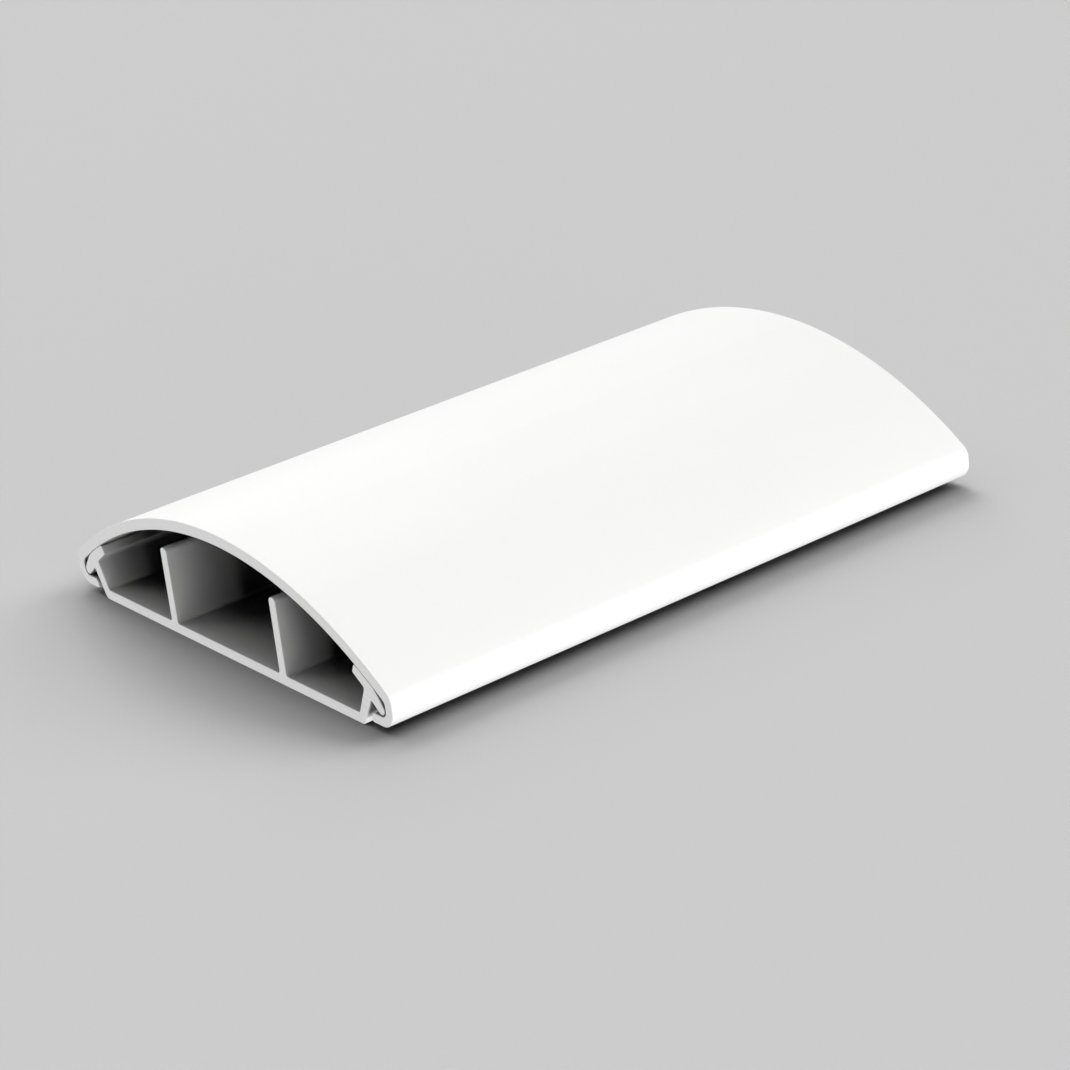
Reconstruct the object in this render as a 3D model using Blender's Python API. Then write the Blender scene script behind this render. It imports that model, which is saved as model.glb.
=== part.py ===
"""Floor cable trunking: a flat channel base with two dividers, and a domed cover that clips over its edges.

Both pieces are straight plastic extrusions cut to one length. Their sections are drawn for the +X half,
in x and z, and mirrored. Lengths are in metres. The origin is on the floor under the middle of the piece,
+Y runs along the trunking and +Z is up.
"""

import math

import bmesh
import bpy

# Overall size
WIDTH = 0.075
HEIGHT = 0.018
LENGTH = 0.100

# Cover: a shallow arch that turns down to a short side, then inwards to a lip under the clip
CROWN_RADIUS = 0.0622
COVER_WALL = 0.0016
SIDE_WALL = 0.0014
SHOULDER_RADIUS = 0.0020
INNER_SHOULDER_RADIUS = 0.0005
COVER_FOOT = 0.0009
FOOT_RADIUS = 0.0025
LIP_TIP_X = 0.0330
LIP_TIP_RADIUS = 0.0006

# Base: a flat floor with leaning side walls, each with an arrow-shaped clip along its top
FLOOR_THICKNESS = 0.0015
FLOOR_INNER_HALF = 0.03007
WALL_LEAN = math.radians(24.6)
WALL_THICKNESS = 0.0014
WALL_TOP = 0.0054
UNDERSIDE_RADIUS = 0.0008
FLOOR_FILLET = 0.0004

# Clip, from the wall's inner face round the head to its outer face
CLIP_CLEARANCE = 0.0003
NUB_X = 0.02975
NUB_Z = 0.0071
NUB_RADIUS = 0.00035
CROWN_EDGE_X = 0.0303
BROW_X = 0.03385
BARB_X = 0.0360
BARB_Z = 0.0030
BARB_RADIUS = 0.0005
BARB_TIP_X = 0.0349
BARB_TIP_Z = 0.0026
BARB_TIP_RADIUS = 0.00025
NOTCH_RADIUS = 0.0006
CLIP_EDGE_RADIUS = 0.00025

# Dividers
DIVIDER_X = 0.0130
DIVIDER_THICKNESS = 0.0015
DIVIDER_TOP = 0.0124
DIVIDER_TOP_RADIUS = 0.00055
DIVIDER_FILLET = 0.0004

# Steps of the curved stretches, and the angle above which an edge is drawn sharp
CROWN_STEPS = 40
FACE_STEPS = 6
STEP_ANGLE = math.radians(11)
SHARP_ANGLE = math.radians(30)
WELD_DISTANCE = 1e-7

# Surface colours (linear) and roughness
BASE_COLOUR = (0.83, 0.83, 0.82)
BASE_ROUGHNESS = 0.42
COVER_COLOUR = (0.88, 0.88, 0.87)
COVER_ROUGHNESS = 0.36

CROWN_CENTRE_Z = HEIGHT - CROWN_RADIUS
HALF_WIDTH = WIDTH / 2


def crown_z(x, radius):
    """Height of an arc about the crown's centre, at x."""
    return CROWN_CENTRE_Z + math.sqrt(radius * radius - x * x)


def crown_arc(x_from, x_to, radius, steps):
    """Points along an arc about the crown's centre, its two ends included."""
    first = math.asin(x_from / radius)
    last = math.asin(x_to / radius)
    angles = [first + (last - first) * i / steps for i in range(steps + 1)]
    return [(radius * math.sin(a), CROWN_CENTRE_Z + radius * math.cos(a)) for a in angles]


def arc(centre, radius, first, last):
    """Points from one angle to another about a centre, in degrees from +X towards +Z."""
    steps = max(2, math.ceil(math.radians(abs(last - first)) / STEP_ANGLE))
    angles = [math.radians(first + (last - first) * i / steps) for i in range(steps + 1)]
    return [(centre[0] + radius * math.cos(a), centre[1] + radius * math.sin(a)) for a in angles]


def rounded(before, corner, after, radius):
    """Points of the round that replaces a corner between two straight edges."""
    ax, az = before[0] - corner[0], before[1] - corner[1]
    bx, bz = after[0] - corner[0], after[1] - corner[1]
    a_length, b_length = math.hypot(ax, az), math.hypot(bx, bz)
    ax, az, bx, bz = ax / a_length, az / a_length, bx / b_length, bz / b_length
    half = math.acos(ax * bx + az * bz) / 2
    tangent = radius / math.tan(half)
    mid_x, mid_z = ax + bx, az + bz
    to_centre = radius / math.sin(half) / math.hypot(mid_x, mid_z)
    centre = (corner[0] + mid_x * to_centre, corner[1] + mid_z * to_centre)
    start = math.atan2(corner[1] + az * tangent - centre[1], corner[0] + ax * tangent - centre[0])
    end = math.atan2(corner[1] + bz * tangent - centre[1], corner[0] + bx * tangent - centre[0])
    turn = (end - start + math.pi) % math.tau - math.pi
    return arc(centre, radius, math.degrees(start), math.degrees(start + turn))


def rounded_path(start, corners, end):
    """Points of a path through (point, radius) corners. Neither end is rounded or included."""
    places = [start] + [point for point, _ in corners] + [end]
    points = []
    for i, (corner, radius) in enumerate(corners):
        points += rounded(places[i], corner, places[i + 2], radius)
    return points


def cover_half():
    """The cover's section for x >= 0: outside from the crown to the lip, then back inside to the crown."""
    centre_x = HALF_WIDTH - SHOULDER_RADIUS
    reach = CROWN_RADIUS - SHOULDER_RADIUS
    centre_z = crown_z(centre_x, reach)
    meet_x = centre_x * CROWN_RADIUS / reach
    tilt = math.degrees(math.atan2(centre_z - CROWN_CENTRE_Z, centre_x))
    foot_centre = (HALF_WIDTH - FOOT_RADIUS, COVER_FOOT + FOOT_RADIUS)
    inner_radius = CROWN_RADIUS - COVER_WALL
    inner_x = HALF_WIDTH - SIDE_WALL
    lip_top = COVER_FOOT + SIDE_WALL
    shoulder = (inner_x, crown_z(inner_x, inner_radius))
    shoulder_out = (inner_x, foot_centre[1])
    shoulder_in_x = inner_x - 2 * INNER_SHOULDER_RADIUS
    shoulder_in = (shoulder_in_x, crown_z(shoulder_in_x, inner_radius))
    outside = crown_arc(0, meet_x, CROWN_RADIUS, CROWN_STEPS)
    outside += arc((centre_x, centre_z), SHOULDER_RADIUS, tilt, 0)[1:]
    outside += arc(foot_centre, FOOT_RADIUS, 0, -90)
    lip = rounded_path(
        (foot_centre[0], COVER_FOOT),
        [((LIP_TIP_X, COVER_FOOT), LIP_TIP_RADIUS), ((LIP_TIP_X, lip_top), LIP_TIP_RADIUS)],
        (foot_centre[0], lip_top),
    )
    inside = arc(foot_centre, FOOT_RADIUS - SIDE_WALL, -90, 0)
    inside += rounded(shoulder_out, shoulder, shoulder_in, INNER_SHOULDER_RADIUS)
    inside += crown_arc(shoulder_in_x, 0, inner_radius, CROWN_STEPS)
    return outside + lip + inside


def base_half():
    """The base's section for x >= 0: along its upper side from the middle, round the clip, and back below."""
    lean = math.tan(WALL_LEAN)
    shift_x = WALL_THICKNESS * math.cos(WALL_LEAN)
    shift_z = -WALL_THICKNESS * math.sin(WALL_LEAN)
    foot_in = (FLOOR_INNER_HALF, FLOOR_THICKNESS)
    foot_out = (FLOOR_INNER_HALF + shift_x, FLOOR_THICKNESS + shift_z)
    wall_top = (FLOOR_INNER_HALF + lean * (WALL_TOP - FLOOR_THICKNESS), WALL_TOP)
    underside = (foot_out[0] - lean * foot_out[1], 0)
    barb_tip = (BARB_TIP_X, BARB_TIP_Z)
    # The barb's inner face rises at 45 degrees to meet the wall's outer face
    notch_z = (foot_out[1] * lean - foot_out[0] + BARB_TIP_X + BARB_TIP_Z) / (1 + lean)
    notch = (foot_out[0] + lean * (notch_z - foot_out[1]), notch_z)
    face_radius = CROWN_RADIUS - COVER_WALL - CLIP_CLEARANCE
    crown_edge = (CROWN_EDGE_X, crown_z(CROWN_EDGE_X, face_radius))
    brow = (BROW_X, crown_z(BROW_X, face_radius))
    barb = (BARB_X, BARB_Z)
    points = [(0, FLOOR_THICKNESS)] + divider()
    points += rounded_path(
        (DIVIDER_X, FLOOR_THICKNESS),
        [
            (foot_in, FLOOR_FILLET),
            (wall_top, FLOOR_FILLET),
            ((NUB_X, NUB_Z), NUB_RADIUS),
            (crown_edge, CLIP_EDGE_RADIUS),
        ],
        brow,
    )
    # The clip's upper face follows the underside of the cover between its two rounded edges
    edge = 2 * CLIP_EDGE_RADIUS
    points += crown_arc(CROWN_EDGE_X + edge, BROW_X - edge, face_radius, FACE_STEPS)
    points += rounded_path(
        crown_edge,
        [
            (brow, CLIP_EDGE_RADIUS),
            (barb, BARB_RADIUS),
            (barb_tip, BARB_TIP_RADIUS),
            (notch, NOTCH_RADIUS),
            (underside, UNDERSIDE_RADIUS),
        ],
        (0, 0),
    )
    return points + [(0, 0)]


def divider():
    """One upright divider, with filleted feet and a rounded top."""
    inner = DIVIDER_X - DIVIDER_THICKNESS / 2
    outer = DIVIDER_X + DIVIDER_THICKNESS / 2
    return rounded_path(
        (0, FLOOR_THICKNESS),
        [
            ((inner, FLOOR_THICKNESS), DIVIDER_FILLET),
            ((inner, DIVIDER_TOP), DIVIDER_TOP_RADIUS),
            ((outer, DIVIDER_TOP), DIVIDER_TOP_RADIUS),
            ((outer, FLOOR_THICKNESS), DIVIDER_FILLET),
        ],
        (FLOOR_INNER_HALF, FLOOR_THICKNESS),
    )


def mirrored(half):
    """The closed outline of a half section whose two ends are on x = 0."""
    return half + [(-x, z) for x, z in reversed(half[1:-1])]


def plastic(name, colour, roughness):
    """A material of white moulding plastic."""
    material = bpy.data.materials.new(name)
    material.use_nodes = True
    shader = material.node_tree.nodes["Principled BSDF"]
    shader.inputs["Base Color"].default_value = (*colour, 1)
    shader.inputs["Roughness"].default_value = roughness
    shader.inputs["Metallic"].default_value = 0
    material.diffuse_color = (*colour, 1)
    return material


def extruded(name, outline, material, collection):
    """An outline in x and z, extruded along Y to the full length, as a mesh object."""
    curve = bpy.data.curves.new(name + "_outline", "CURVE")
    curve.dimensions = "2D"
    curve.fill_mode = "BOTH"
    curve.extrude = LENGTH / 2
    spline = curve.splines.new("POLY")
    spline.points.add(len(outline) - 1)
    for point, (x, z) in zip(spline.points, outline):
        point.co = (x, z, 0, 1)
    spline.use_cyclic_u = True
    guide = bpy.data.objects.new(name + "_outline", curve)
    guide.rotation_euler = (math.pi / 2, 0, 0)
    collection.objects.link(guide)
    bpy.context.view_layer.update()
    graph = bpy.context.evaluated_depsgraph_get()
    mesh = bpy.data.meshes.new_from_object(guide.evaluated_get(graph))
    mesh.name = name
    welded = bmesh.new()
    welded.from_mesh(mesh)
    bmesh.ops.remove_doubles(welded, verts=welded.verts, dist=WELD_DISTANCE)
    bmesh.ops.recalc_face_normals(welded, faces=welded.faces)
    welded.to_mesh(mesh)
    welded.free()
    piece = bpy.data.objects.new(name, mesh)
    piece.matrix_world = guide.matrix_world
    bpy.data.objects.remove(guide, do_unlink=True)
    mesh.materials.clear()
    mesh.materials.append(material)
    mesh.shade_smooth()
    mesh.set_sharp_from_angle(angle=SHARP_ANGLE)
    collection.objects.link(piece)
    return piece


def clear_scene():
    """Removes every object of the open scene."""
    for item in list(bpy.data.objects):
        bpy.data.objects.remove(item, do_unlink=True)


def main():
    clear_scene()
    parts = bpy.data.collections.new("cable_trunking")
    bpy.context.scene.collection.children.link(parts)
    base_plastic = plastic("base_white_plastic", BASE_COLOUR, BASE_ROUGHNESS)
    cover_plastic = plastic("cover_white_plastic", COVER_COLOUR, COVER_ROUGHNESS)
    base = extruded("trunking_base", mirrored(base_half()), base_plastic, parts)
    cover = extruded("trunking_cover", mirrored(cover_half()), cover_plastic, parts)
    # The cover slides along Y on the base, so it is carried by it
    cover.parent = base
    cover.matrix_parent_inverse = base.matrix_world.inverted()


main()
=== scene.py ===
"""A short length of floor cable trunking: a divided base channel and a domed cover that clips over it.

Both pieces are straight plastic extrusions with square-cut ends. Each starts as half of its section, drawn
as a wire, which is filled, mirrored and run along Y. Sizes are in metres, +Y runs along the trunking, +Z is
up, and the origin is on the floor under the middle of the piece.
"""

import math

import bmesh
import bpy
from bpy.props import FloatProperty, FloatVectorProperty, PointerProperty
from bpy.types import Operator, Panel, PropertyGroup
from mathutils import Matrix, Vector


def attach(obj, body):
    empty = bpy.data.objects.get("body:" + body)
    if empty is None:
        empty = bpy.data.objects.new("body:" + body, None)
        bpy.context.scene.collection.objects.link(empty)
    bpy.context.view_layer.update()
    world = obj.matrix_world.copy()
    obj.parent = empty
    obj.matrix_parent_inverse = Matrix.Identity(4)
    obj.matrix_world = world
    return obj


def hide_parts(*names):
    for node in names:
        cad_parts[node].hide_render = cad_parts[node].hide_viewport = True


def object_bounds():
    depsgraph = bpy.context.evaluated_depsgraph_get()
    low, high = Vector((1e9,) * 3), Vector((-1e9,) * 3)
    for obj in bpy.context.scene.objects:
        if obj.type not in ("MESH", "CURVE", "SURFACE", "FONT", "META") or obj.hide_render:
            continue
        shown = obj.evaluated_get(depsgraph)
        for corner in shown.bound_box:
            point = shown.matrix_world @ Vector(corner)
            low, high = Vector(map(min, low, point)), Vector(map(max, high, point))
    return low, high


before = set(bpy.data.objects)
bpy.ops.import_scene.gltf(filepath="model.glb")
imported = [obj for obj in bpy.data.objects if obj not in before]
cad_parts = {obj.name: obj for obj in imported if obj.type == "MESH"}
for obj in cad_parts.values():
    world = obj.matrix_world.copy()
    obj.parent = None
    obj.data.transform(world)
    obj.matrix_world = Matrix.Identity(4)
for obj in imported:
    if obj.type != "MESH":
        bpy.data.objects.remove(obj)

bl_info = {
    "name": "Cable Trunking",
    "version": (1, 0, 0),
    "blender": (4, 5, 0),
    "location": "View3D > Sidebar > Trunking",
    "description": "A cut length of floor cable trunking: its base, its clip-on cover and a plain studio",
    "category": "Add Mesh",
}

# The box round the plain solids, which the finished pieces stay inside
CAD_LOW, CAD_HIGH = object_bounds()

MM = 0.001
NEAR_END = CAD_LOW.y
FAR_END = CAD_HIGH.y
HALF_WIDTH = CAD_HIGH.x
HEIGHT = CAD_HIGH.z

QUARTER = math.pi / 2

# Curved stretches have a point at least this often, by angle and by length, and a rounded corner has at
# least this many segments
ARC_STEP = math.radians(7.5)
CHORD = 0.8 * MM
FEWEST_SEGMENTS = 2

# Points closer than this are made one, and an edge that turns by more than this stays sharp
MERGE = 0.001 * MM
SHARP = math.radians(30)

# A face whose normal has more than this along Y is one of the sawn ends
END_FACING = 0.5

# Axis of the saw's blade, seen from the near cut
BLADE = (55 * MM, 0, 110 * MM)

# How fine each pattern of the plastic is, along X, Y and Z. What the die draws changes across the section,
# and hardly along it. The saw's arcs change only with the distance from its axis.
FINE_LINES = (1400, 5, 1400)
BROAD_LINES = (260, 1.5, 260)
CLOUD = (60, 22, 60)
SAW_GRAIN = (5200, 5200, 5200)
SAW_ARCS = 2600

# How many finer layers a pattern's noise has
FINE_DETAIL = 3
PLAIN_DETAIL = 2

# How dark the darkest part of the skin and of the sawn ends is, as a share of the plastic's white
SKIN_SHADE = 0.965
SAWN_SHADE = 0.84

# How much the first of two patterns counts, as a share of both
CLOUD_IN_TINT = 0.5
FINE_LINES_IN_RELIEF = 0.6
ARCS_IN_TINT = 0.7
ARCS_IN_RELIEF = 0.75

# How much rougher the plastic is at a pattern's highest than at its lowest
CLOUD_ROUGHNESS = 0.12
LINES_ROUGHNESS = 0.06
GRAIN_ROUGHNESS = 0.15

PLASTIC_IOR = 1.53

# The floor: how many sides it has, how fine its unevenness is, how dark that gets, and how it shines
FLOOR_SIDES = 96
FLOOR_CLOUD = (6, 6, 6)
FLOOR_SHADE = 0.995
FLOOR_ROUGHNESS = 0.9
FLOOR_GLOSS = 0.1

# The camera sees from this far in front of it to this many floor radii away
CAMERA_NEAR = 10 * MM
CAMERA_FAR = 4

# Sockets of a Mix node that mixes colours
MIX_FACTOR, MIX_FIRST, MIX_SECOND = 0, 6, 7
MIX_RESULT = 2

# Each light's name, azimuth, elevation and spread in degrees, and its strength.
# Azimuth 0 is the side of the near cut, and 90 is the right side of the piece. The lights from below shine
# through the floor, as a bright studio's floor throws light back up.
LIGHTS = (
    ("right_low", 100, -4, 8, 0.405),
    ("right_below", 95, -15, 40, 0.46),
    ("right_back_below", 120, -35, 40, 0.28),
    ("right_front", 80, 6, 20, 0.114),
    ("right_front_low", 67.5, 2.5, 4, 0.027),
    ("right_back_high", 157.5, 38, 45, 0.424),
    ("right_top", 90, 62, 50, 0.082),
    ("top", 0, 80, 40, 0.084),
    ("front_below", 0, -25, 40, 0.316),
    ("front_left_below", 340, -15, 30, 0.342),
    ("left_front_high", 292.5, 38, 45, 0.121),
    ("left_back", 247.5, 15, 30, 0.055),
    ("left_back_high", 247.5, 38, 45, 0.452),
    ("left_back_top", 225, 62, 50, 0.27),
    ("left_below", 270, -30, 40, 0.25),
)


def length(name, default, description):
    """A property for a length."""
    return FloatProperty(
        name=name, description=description, default=default, min=0, precision=5,
        subtype="DISTANCE", unit="LENGTH",
    )


def angle(name, default, description):
    """A property for an angle, whose default is given in degrees."""
    return FloatProperty(
        name=name, description=description, default=math.radians(default), subtype="ANGLE", unit="ROTATION"
    )


def share(name, default, description):
    """A property for a number from 0 to 1."""
    return FloatProperty(
        name=name, description=description, default=default, min=0, max=1, subtype="FACTOR"
    )


def colour(name, default, description):
    """A property for a colour."""
    return FloatVectorProperty(
        name=name, description=description, default=default, size=3, min=0, max=1, subtype="COLOR"
    )


class CoverSizes(PropertyGroup):
    """The section of the domed cover."""

    crown_radius: length("Crown radius", 62.2 * MM, "Radius of the arch, on its outside")
    crown_wall: length("Crown wall", 1.6 * MM, "Thickness of the arch")
    side_wall: length("Side wall", 1.5 * MM, "Thickness of the side")
    shoulder_radius: length("Shoulder radius", 2.0 * MM, "Outer round where the arch meets the side")
    inner_shoulder: length("Inner shoulder radius", 0.9 * MM, "Inner round where the arch meets the side")
    foot_radius: length("Foot radius", 2.5 * MM, "Outer round where the side turns in to the lip")
    foot_height: length("Foot height", 1.05 * MM, "Clearance between the lip and the floor")
    lip_wall: length("Lip wall", 1.35 * MM, "Thickness of the lip")
    lip_reach: length("Lip tip", 32.8 * MM, "How far from the middle the lip ends")
    lip_lower: length("Lip lower round", 0.35 * MM, "Round of the lip's lower edge")
    lip_upper: length("Lip upper round", 0.8 * MM, "Round of the lip's upper edge, to ease the cover on")


class BaseSizes(PropertyGroup):
    """The section of the divided base channel."""

    floor_thickness: length("Floor thickness", 1.5 * MM, "Thickness of the floor plate")
    floor_half: length("Floor half width", 30.07 * MM, "Half of the width inside, at the floor")
    wall_lean: angle("Wall lean", 24.6, "How far the side walls lean outwards")
    wall_thickness: length("Wall thickness", 1.4 * MM, "Thickness of the leaning side walls")
    wall_top: length("Wall top", 5.4 * MM, "Height where a side wall's inner face ends under the clip")
    underside_round: length("Underside round", 0.8 * MM, "Round between the underside and a side wall")
    fillet: length("Fillet", 0.4 * MM, "Fillet in the corners inside")
    divider_place: length("Divider place", 13.0 * MM, "Distance of each divider from the middle")
    divider_thickness: length("Divider thickness", 1.5 * MM, "Thickness of each divider")
    divider_top: length("Divider top", 12.4 * MM, "Height of each divider")
    divider_round: length("Divider round", 0.68 * MM, "Round of each divider's top edges")
    clip_gap: length("Clip gap", 0.04 * MM, "Gap between the clip's upper face and the cover")
    clip_inner: length("Clip inner edge", 30.2 * MM, "Distance of the clip's inner top edge from the middle")
    clip_outer: length("Clip outer edge", 33.7 * MM, "Distance of the clip's outer top edge from the middle")
    clip_round: length("Clip round", 0.4 * MM, "Round of the clip's upper edges")
    nose_place: length("Nose place", 29.62 * MM, "Distance of the clip's inner nose from the middle")
    nose_height: length("Nose height", 7.0 * MM, "Height of the clip's inner nose")
    nose_round: length("Nose round", 0.35 * MM, "Round of the clip's inner nose")
    notch_place: length("Notch place", 33.1 * MM, "Distance of the notch for the lip from the middle")
    notch_height: length("Notch height", 4.1 * MM, "Height of the notch for the lip")
    notch_round: length("Notch round", 0.3 * MM, "Round in the bottom of the notch")
    barb_place: length("Barb place", 35.08 * MM, "Distance of the barb's round tip from the middle")
    barb_height: length("Barb height", 3.33 * MM, "Height of the barb's round tip, at its centre")
    barb_radius: length("Barb radius", 0.68 * MM, "Radius of the barb's round tip")
    barb_first: angle("Barb first angle", -130, "Where the barb's round tip starts, from straight outwards")
    barb_last: angle("Barb last angle", 24, "Where the barb's round tip ends, from straight outwards")
    barb_dip: length("Barb dip", 0.10 * MM, "How far the barb's outer face is hollowed")


class Finish(PropertyGroup):
    """The plastics and how they were extruded and cut."""

    base_colour: colour("Base colour", (0.80, 0.80, 0.795), "White of the base's plastic")
    cover_colour: colour("Cover colour", (0.86, 0.86, 0.855), "White of the cover's plastic")
    cut_colour: colour("Cut colour", (0.965, 0.965, 0.96), "White of both pieces where they were sawn")
    base_roughness: share("Base roughness", 0.55, "Roughness of the base's surface")
    cover_roughness: share("Cover roughness", 0.55, "Roughness of the cover's surface")
    cut_roughness: share("Cut roughness", 0.62, "Roughness of the sawn ends")
    die_lines: length("Die line depth", 0.010 * MM, "Depth of the fine lines from the die, lengthwise")
    saw_marks: length("Saw mark depth", 0.030 * MM, "Depth of the marks that the saw leaves on the ends")
    cut_break: length("Cut edge break", 0.06 * MM, "Width of the broken edge round each sawn end")


class Studio(PropertyGroup):
    """The floor, the backdrop and the camera."""

    floor_colour: colour("Floor colour", (0.58, 0.58, 0.58), "Grey of the floor")
    floor_radius: length("Floor radius", 12.0, "Radius of the floor")
    backdrop: colour("Backdrop", (0.63, 0.63, 0.63), "Grey beyond the floor, which gives no light")
    camera_place: FloatVectorProperty(
        name="Camera place", description="Where the camera stands", default=(0.336628, -0.240907, 0.172185),
        size=3, precision=5, subtype="XYZ", unit="LENGTH",
    )
    camera_azimuth: angle("Camera azimuth", 54.233, "How far round from the near cut the camera stands")
    camera_elevation: angle("Camera elevation", 22.575, "How far down the camera looks")
    camera_roll: angle("Camera roll", -6.847, "How far the camera is turned about its line of sight")
    lens: FloatProperty(
        name="Lens", description="Focal length of the camera", default=107.74, unit="CAMERA"
    )
    sensor: FloatProperty(
        name="Sensor", description="Width of the camera's sensor", default=36, unit="CAMERA"
    )


class Outline:
    """Half of a section as a wire on the near cut, drawn stroke by stroke and made into the whole piece."""

    def __init__(self, x, z):
        self.mesh = bmesh.new()
        self.start = bmesh.ops.create_vert(self.mesh, co=(x, NEAR_END, z))["vert"][0]
        self.tip = self.start
        self.corners = []

    def line(self, x, z, radius=0.0):
        """Draws a straight stroke to x, z. A radius rounds the corner there once the outline is closed."""
        self.tip = bmesh.ops.extrude_vert_indiv(self.mesh, verts=[self.tip])["verts"][0]
        self.tip.co = (x, NEAR_END, z)
        self.round_here(radius)

    def turn(self, centre_x, centre_z, sweep, radius=0.0):
        """Draws an arc about a centre, from +X towards +Z where the sweep is positive."""
        reach = math.hypot(self.tip.co.x - centre_x, self.tip.co.z - centre_z)
        steps = math.ceil(max(abs(sweep) / ARC_STEP, abs(sweep) * reach / CHORD))
        swept = bmesh.ops.spin(
            self.mesh, geom=[self.tip], cent=(centre_x, NEAR_END, centre_z), axis=(0, -1, 0),
            angle=sweep, steps=steps,
        )
        self.tip = next(item for item in swept["geom_last"] if isinstance(item, bmesh.types.BMVert))
        self.round_here(radius)

    def hollow(self, x, z, dip, radius=0.0):
        """Draws a shallow arc to x, z that lies off its chord by dip, to the right of the way it goes."""
        first = Vector((self.tip.co.x, self.tip.co.z))
        chord = Vector((x, z)) - first
        reach = (chord.length_squared / 4 + dip * dip) / (2 * dip)
        left = Vector((-chord.y, chord.x)).normalized()
        centre = first + chord / 2 + left * (reach - dip)
        self.turn(centre.x, centre.y, 2 * math.asin(chord.length / 2 / reach), radius)

    def round_here(self, radius):
        """Notes that the corner just drawn gets a round, unless the radius is 0."""
        if radius:
            self.corners.append((self.tip, radius))

    def piece(self, cut_break):
        """Closes the half section and makes the whole extrusion of it, with its cut edges broken."""
        mesh = self.mesh
        bmesh.ops.contextual_create(mesh, geom=[self.tip, self.start])
        for corner, radius in self.corners:
            turned = corner.calc_edge_angle()
            segments = max(FEWEST_SEGMENTS, math.ceil(turned / ARC_STEP))
            bmesh.ops.bevel(
                mesh, geom=[corner], offset=radius * math.tan(turned / 2), offset_type="OFFSET",
                affect="VERTICES", segments=segments, profile=0.5, material=-1,
            )
        bmesh.ops.contextual_create(mesh, geom=mesh.edges[:])
        half = mesh.verts[:] + mesh.edges[:] + mesh.faces[:]
        bmesh.ops.mirror(mesh, geom=half, axis="X", merge_dist=MERGE)
        bmesh.ops.translate(mesh, vec=(0, cut_break, 0), verts=mesh.verts[:])
        far = bmesh.ops.extrude_face_region(mesh, geom=mesh.faces[:])["geom"]
        far_points = [item for item in far if isinstance(item, bmesh.types.BMVert)]
        bmesh.ops.translate(mesh, vec=(0, FAR_END - NEAR_END - 2 * cut_break, 0), verts=far_points)
        bmesh.ops.recalc_face_normals(mesh, faces=mesh.faces[:])
        ends = [face for face in mesh.faces if abs(face.normal.y) > END_FACING]
        bmesh.ops.inset_region(
            mesh, faces=ends, thickness=cut_break, depth=cut_break, use_even_offset=True
        )
        return mesh


class Value:
    """The output of a node. Arithmetic on one that is a number adds Math nodes."""

    def __init__(self, nodes, socket):
        self.nodes = nodes
        self.socket = socket

    def math(self, operation, *inputs):
        """Adds one Math node and returns its result."""
        return self.nodes.add("ShaderNodeMath", {"operation": operation}, dict(enumerate(inputs)))

    def __add__(self, other):
        return self.math("ADD", self, other)

    def __sub__(self, other):
        return self.math("SUBTRACT", self, other)

    def __rsub__(self, other):
        return self.math("SUBTRACT", other, self)

    def __mul__(self, other):
        return self.math("MULTIPLY", self, other)

    def __gt__(self, other):
        return self.math("GREATER_THAN", self, other)

    def __abs__(self):
        return self.math("ABSOLUTE", self)

    __radd__ = __add__
    __rmul__ = __mul__


class Nodes:
    """The node tree of a material or of the world."""

    def __init__(self, tree):
        self.tree = tree
        self.tree.nodes.clear()

    def add(self, kind, settings=None, inputs=None, output=0):
        """Adds a node, sets it up, fills or links its inputs, and returns one of its outputs."""
        node = self.tree.nodes.new(kind)
        for name, setting in (settings or {}).items():
            setattr(node, name, setting)
        for name, value in (inputs or {}).items():
            if isinstance(value, Value):
                self.tree.links.new(value.socket, node.inputs[name])
            else:
                node.inputs[name].default_value = value
        return Value(self, node.outputs[output]) if node.outputs else None

    def stretch(self, place, scale):
        """A place multiplied along each axis."""
        return self.add("ShaderNodeVectorMath", {"operation": "MULTIPLY"}, {0: place, 1: scale})

    def noise(self, place, scale, detail=PLAIN_DETAIL):
        """Noise from 0 to 1, with a scale for each axis."""
        scaled = self.stretch(place, scale)
        return self.add("ShaderNodeTexNoise", {}, {"Vector": scaled, "Scale": 1, "Detail": detail})

    def mix(self, factor, first, second):
        """A colour between two colours, either of which may come from a node."""
        first, second = (part if isinstance(part, Value) else (*part, 1) for part in (first, second))
        inputs = {MIX_FACTOR: factor, MIX_FIRST: first, MIX_SECOND: second}
        return self.add("ShaderNodeMix", {"data_type": "RGBA"}, inputs, output=MIX_RESULT)


def new_material(name):
    """A material with an empty node tree."""
    material = bpy.data.materials.new(name)
    material.use_nodes = True
    return material, Nodes(material.node_tree)


def together(first, second, part):
    """Two patterns added, the first of which counts for this part of both."""
    return first * part + second * (1 - part)


def darker(tint, part):
    """A colour with each of its numbers brought down to this part of it."""
    return [number * part for number in tint]


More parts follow.
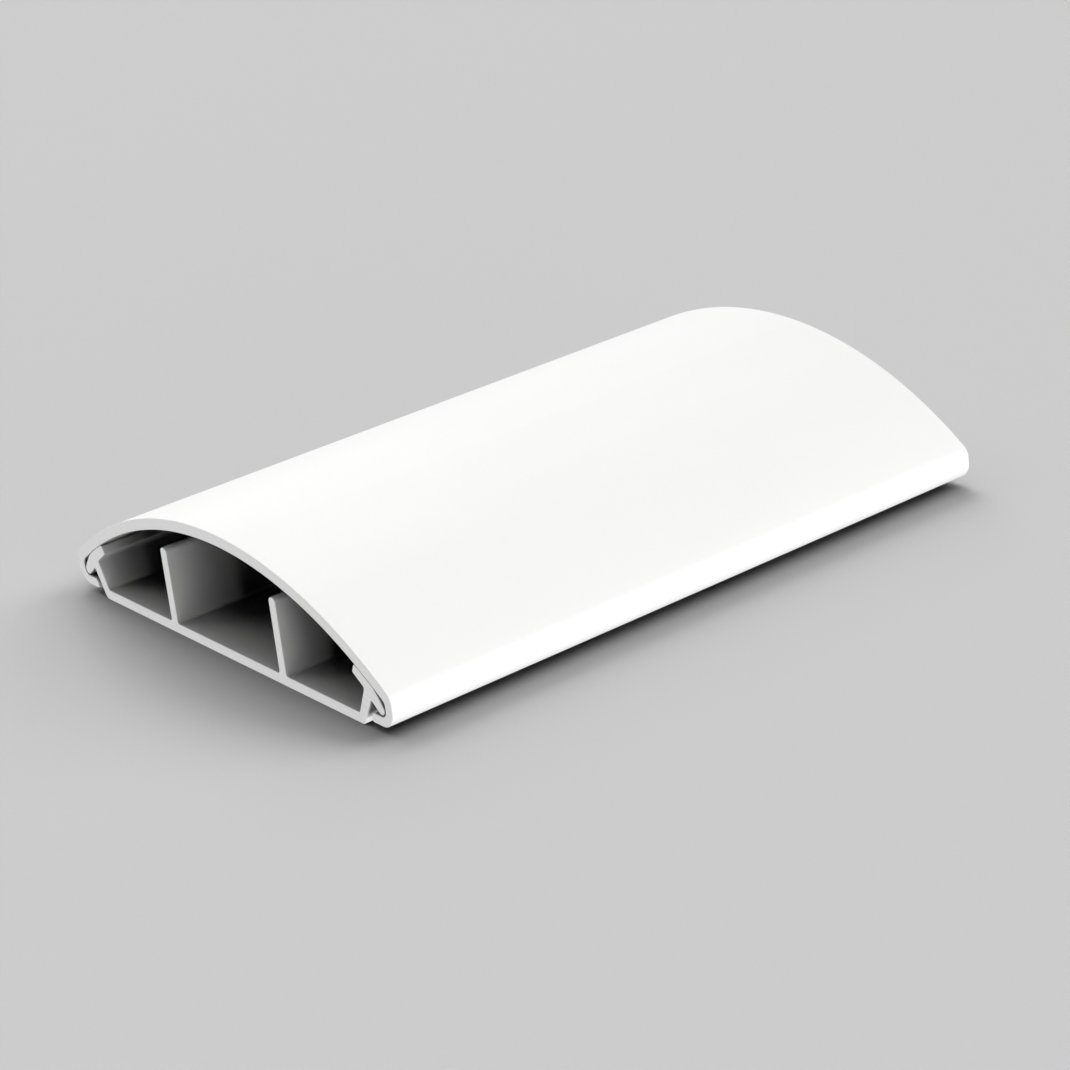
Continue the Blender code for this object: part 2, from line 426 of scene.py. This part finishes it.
def trunking_plastic(name, white, roughness, finish):
    """White rigid plastic: faint lengthwise lines from the die, and the saw's arcs where it was cut."""
    material, nodes = new_material(name)
    place = nodes.add("ShaderNodeTexCoord", output="Object")
    along = nodes.add("ShaderNodeSeparateXYZ", {}, {"Vector": place}, output="Y")
    cut = abs(along) > FAR_END - finish.cut_break / 2
    skin = 1 - cut

    fine_lines = nodes.noise(place, FINE_LINES, FINE_DETAIL)
    broad_lines = nodes.noise(place, BROAD_LINES)
    cloud = nodes.noise(place, CLOUD, FINE_DETAIL)
    across = nodes.stretch(place, (1, 0, 1))
    reach = nodes.add(
        "ShaderNodeVectorMath", {"operation": "DISTANCE"}, {0: across, 1: BLADE}, output="Value"
    )
    saw_arcs = nodes.add("ShaderNodeTexNoise", {"noise_dimensions": "1D"}, {"W": reach, "Scale": SAW_ARCS})
    grain = nodes.noise(place, SAW_GRAIN)

    skin_tint = nodes.mix(together(cloud, broad_lines, CLOUD_IN_TINT), white, darker(white, SKIN_SHADE))
    sawn = tuple(finish.cut_colour)
    sawn_tint = nodes.mix(together(saw_arcs, grain, ARCS_IN_TINT), sawn, darker(sawn, SAWN_SHADE))
    tint = nodes.mix(cut, skin_tint, sawn_tint)
    skin_rough = roughness + (cloud - 0.5) * CLOUD_ROUGHNESS + (fine_lines - 0.5) * LINES_ROUGHNESS
    sawn_rough = finish.cut_roughness + (grain - 0.5) * GRAIN_ROUGHNESS
    skin_relief = together(fine_lines, broad_lines, FINE_LINES_IN_RELIEF) * finish.die_lines
    sawn_relief = together(saw_arcs, grain, ARCS_IN_RELIEF) * finish.saw_marks
    relief = skin * skin_relief + cut * sawn_relief
    bump = nodes.add("ShaderNodeBump", {}, {"Strength": 1, "Distance": 1, "Height": relief})
    rough = skin * skin_rough + cut * sawn_rough
    shader = nodes.add(
        "ShaderNodeBsdfPrincipled", {},
        {"Base Color": tint, "Roughness": rough, "IOR": PLASTIC_IOR, "Normal": bump},
    )
    nodes.add("ShaderNodeOutputMaterial", {}, {"Surface": shader})
    return material


def floor_paint(studio):
    """The matte grey of the floor, very slightly uneven."""
    material, nodes = new_material("studio_floor_paint")
    place = nodes.add("ShaderNodeTexCoord", output="Object")
    grey = tuple(studio.floor_colour)
    tint = nodes.mix(nodes.noise(place, FLOOR_CLOUD), grey, darker(grey, FLOOR_SHADE))
    shader = nodes.add(
        "ShaderNodeBsdfPrincipled", {},
        {"Base Color": tint, "Roughness": FLOOR_ROUGHNESS, "Specular IOR Level": FLOOR_GLOSS},
    )
    nodes.add("ShaderNodeOutputMaterial", {}, {"Surface": shader})
    return material


def add_piece(name, mesh, material):
    """Makes a scene object of a bmesh, with its place in its mesh."""
    data = bpy.data.meshes.new(name)
    mesh.to_mesh(data)
    mesh.free()
    data.materials.append(material)
    data.shade_smooth()
    data.set_sharp_from_angle(angle=SHARP)
    item = bpy.data.objects.new(name, data)
    bpy.context.scene.collection.objects.link(item)
    return item


def arc_height(x, radius, centre_z):
    """Height at x of an arc about the crown's centre."""
    return centre_z + math.sqrt(radius * radius - x * x)


def arc_angle(x, radius):
    """Angle of the point at x on an arc about the crown's centre, from straight outwards."""
    return math.acos(x / radius)


def cover_section(sizes):
    """The cover's half section: over the arch and round the foot to the lip, and back inside."""
    centre_z = HEIGHT - sizes.crown_radius
    inner_radius = sizes.crown_radius - sizes.crown_wall
    shoulder_x = HALF_WIDTH - sizes.shoulder_radius
    shoulder_reach = sizes.crown_radius - sizes.shoulder_radius
    shoulder_angle = arc_angle(shoulder_x, shoulder_reach)
    foot_x = HALF_WIDTH - sizes.foot_radius
    foot_z = sizes.foot_height + sizes.foot_radius
    lip_top = sizes.foot_height + sizes.lip_wall
    inner_foot_z = lip_top + sizes.foot_radius - sizes.side_wall
    inner_x = HALF_WIDTH - sizes.side_wall

    outline = Outline(0, HEIGHT)
    outline.turn(0, centre_z, shoulder_angle - QUARTER)
    outline.turn(shoulder_x, arc_height(shoulder_x, shoulder_reach, centre_z), -shoulder_angle)
    outline.line(HALF_WIDTH, foot_z)
    outline.turn(foot_x, foot_z, -QUARTER)
    outline.line(sizes.lip_reach, sizes.foot_height, sizes.lip_lower)
    outline.line(sizes.lip_reach, lip_top, sizes.lip_upper)
    outline.line(foot_x, lip_top)
    outline.turn(foot_x, inner_foot_z, QUARTER)
    outline.line(inner_x, arc_height(inner_x, inner_radius, centre_z), sizes.inner_shoulder)
    outline.turn(0, centre_z, QUARTER - arc_angle(inner_x, inner_radius))
    return outline


def base_section(sizes, cover):
    """The base's half section: the underside, the wall, round the clip, and back over the divider."""
    centre_z = HEIGHT - cover.crown_radius
    face_radius = cover.crown_radius - cover.crown_wall - sizes.clip_gap
    lean = math.tan(sizes.wall_lean)
    plate_top = sizes.floor_thickness
    outer_x = sizes.floor_half + sizes.wall_thickness / math.cos(sizes.wall_lean)
    barb_x = sizes.barb_place + sizes.barb_radius * math.cos(sizes.barb_first)
    barb_z = sizes.barb_height + sizes.barb_radius * math.sin(sizes.barb_first)
    face_sweep = arc_angle(sizes.clip_inner, face_radius) - arc_angle(sizes.clip_outer, face_radius)
    divider_in = sizes.divider_place - sizes.divider_thickness / 2
    divider_out = sizes.divider_place + sizes.divider_thickness / 2

    outline = Outline(0, 0)
    outline.line(outer_x - lean * plate_top, 0, sizes.underside_round)
    outline.line(sizes.notch_place, sizes.notch_height, sizes.notch_round)
    outline.line(barb_x, barb_z)
    outline.turn(sizes.barb_place, sizes.barb_height, sizes.barb_last - sizes.barb_first)
    outline.hollow(sizes.clip_outer, arc_height(sizes.clip_outer, face_radius, centre_z), sizes.barb_dip)
    outline.turn(0, centre_z, face_sweep, sizes.clip_round)
    outline.line(sizes.nose_place, sizes.nose_height, sizes.nose_round)
    outline.line(sizes.floor_half + lean * (sizes.wall_top - plate_top), sizes.wall_top, sizes.fillet)
    outline.line(sizes.floor_half, plate_top, sizes.fillet)
    outline.line(divider_out, plate_top, sizes.fillet)
    outline.line(divider_out, sizes.divider_top, sizes.divider_round)
    outline.line(divider_in, sizes.divider_top, sizes.divider_round)
    outline.line(divider_in, plate_top, sizes.fillet)
    outline.line(0, plate_top)
    return outline


class TRUNKING_OT_base(Operator):
    """Builds the base channel in the place of its plain solid"""

    bl_idname = "trunking.base"
    bl_label = "Base Channel"

    def execute(self, context):
        scene = context.scene
        finish = scene.trunking_finish
        outline = base_section(scene.trunking_base, scene.trunking_cover)
        white = tuple(finish.base_colour)
        plastic = trunking_plastic("base_plastic", white, finish.base_roughness, finish)
        base = add_piece("base_channel", outline.piece(finish.cut_break), plastic)
        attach(base, "base")
        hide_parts("trunking_base")
        return {"FINISHED"}


class TRUNKING_OT_cover(Operator):
    """Builds the clip-on cover in the place of its plain solid"""

    bl_idname = "trunking.cover"
    bl_label = "Domed Cover"

    def execute(self, context):
        scene = context.scene
        finish = scene.trunking_finish
        outline = cover_section(scene.trunking_cover)
        white = tuple(finish.cover_colour)
        plastic = trunking_plastic("cover_plastic", white, finish.cover_roughness, finish)
        cover = add_piece("domed_cover", outline.piece(finish.cut_break), plastic)
        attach(cover, "cover")
        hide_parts("trunking_cover")
        return {"FINISHED"}


class TRUNKING_OT_studio(Operator):
    """Adds the floor, the lights and the camera"""

    bl_idname = "trunking.studio"
    bl_label = "Studio"

    def execute(self, context):
        scene = context.scene
        add_floor(scene.trunking_studio)
        add_backdrop(scene)
        add_lights(scene)
        add_camera(scene)
        return {"FINISHED"}


def add_floor(studio):
    """A wide round floor under the piece, which lets the lights from below through."""
    mesh = bmesh.new()
    bmesh.ops.create_circle(mesh, cap_ends=True, radius=studio.floor_radius, segments=FLOOR_SIDES)
    floor = add_piece("studio_floor", mesh, floor_paint(studio))
    floor.visible_shadow = False


def add_backdrop(scene):
    """Plain grey beyond the floor, which only the camera sees."""
    world = bpy.data.worlds.new("studio_backdrop")
    world.use_nodes = True
    nodes = Nodes(world.node_tree)
    grey = (*scene.trunking_studio.backdrop, 1)
    shader = nodes.add("ShaderNodeBackground", {}, {"Color": grey, "Strength": 1})
    nodes.add("ShaderNodeOutputWorld", {}, {"Surface": shader})
    world.cycles_visibility.diffuse = False
    world.cycles_visibility.glossy = False
    scene.world = world


def add_lights(scene):
    """Soft lights from far away.

    Their light isn't passed on from surface to surface, so the ways inside stay dark as in the photo.
    """
    for name, azimuth, elevation, spread, strength in LIGHTS:
        sun = bpy.data.lights.new(name, "SUN")
        sun.angle = math.radians(spread)
        sun.energy = strength * math.pi
        item = bpy.data.objects.new(name, sun)
        item.rotation_euler = (QUARTER - math.radians(elevation), 0, math.radians(azimuth))
        scene.collection.objects.link(item)
    scene.cycles.diffuse_bounces = 0
    scene.cycles.glossy_bounces = 1
    scene.view_settings.view_transform = "Standard"


def add_camera(scene):
    """The camera, where the photo was taken from."""
    studio = scene.trunking_studio
    camera = bpy.data.cameras.new("studio_camera")
    camera.lens = studio.lens
    camera.sensor_width = studio.sensor
    camera.clip_start = CAMERA_NEAR
    camera.clip_end = CAMERA_FAR * studio.floor_radius
    turned = Matrix.Rotation(studio.camera_azimuth, 4, "Z")
    tipped = turned @ Matrix.Rotation(QUARTER - studio.camera_elevation, 4, "X")
    rolled = tipped @ Matrix.Rotation(studio.camera_roll, 4, "Z")
    item = bpy.data.objects.new("studio_camera", camera)
    item.matrix_world = Matrix.Translation(studio.camera_place) @ rolled
    scene.collection.objects.link(item)
    scene.camera = item


class TRUNKING_PT_panel(Panel):
    """The trunking's pieces and settings, in the sidebar"""

    bl_idname = "TRUNKING_PT_panel"
    bl_label = "Cable Trunking"
    bl_space_type = "VIEW_3D"
    bl_region_type = "UI"
    bl_category = "Trunking"

    def draw(self, context):
        scene = context.scene
        for group, operator in (
            (scene.trunking_base, TRUNKING_OT_base),
            (scene.trunking_cover, TRUNKING_OT_cover),
            (scene.trunking_studio, TRUNKING_OT_studio),
            (scene.trunking_finish, None),
        ):
            box = self.layout.box()
            for name in group.bl_rna.properties.keys():
                if name not in ("rna_type", "name"):
                    box.prop(group, name)
            if operator:
                box.operator(operator.bl_idname)


CLASSES = (
    CoverSizes,
    BaseSizes,
    Finish,
    Studio,
    TRUNKING_OT_base,
    TRUNKING_OT_cover,
    TRUNKING_OT_studio,
    TRUNKING_PT_panel,
)


def register():
    for item in CLASSES:
        bpy.utils.register_class(item)
    bpy.types.Scene.trunking_base = PointerProperty(type=BaseSizes)
    bpy.types.Scene.trunking_cover = PointerProperty(type=CoverSizes)
    bpy.types.Scene.trunking_finish = PointerProperty(type=Finish)
    bpy.types.Scene.trunking_studio = PointerProperty(type=Studio)


def unregister():
    del bpy.types.Scene.trunking_studio
    del bpy.types.Scene.trunking_finish
    del bpy.types.Scene.trunking_cover
    del bpy.types.Scene.trunking_base
    for item in reversed(CLASSES):
        bpy.utils.unregister_class(item)


def main():
    """Builds both pieces and the studio."""
    register()
    bpy.ops.trunking.base()
    bpy.ops.trunking.cover()
    bpy.ops.trunking.studio()


if __name__ == "__main__":
    main()
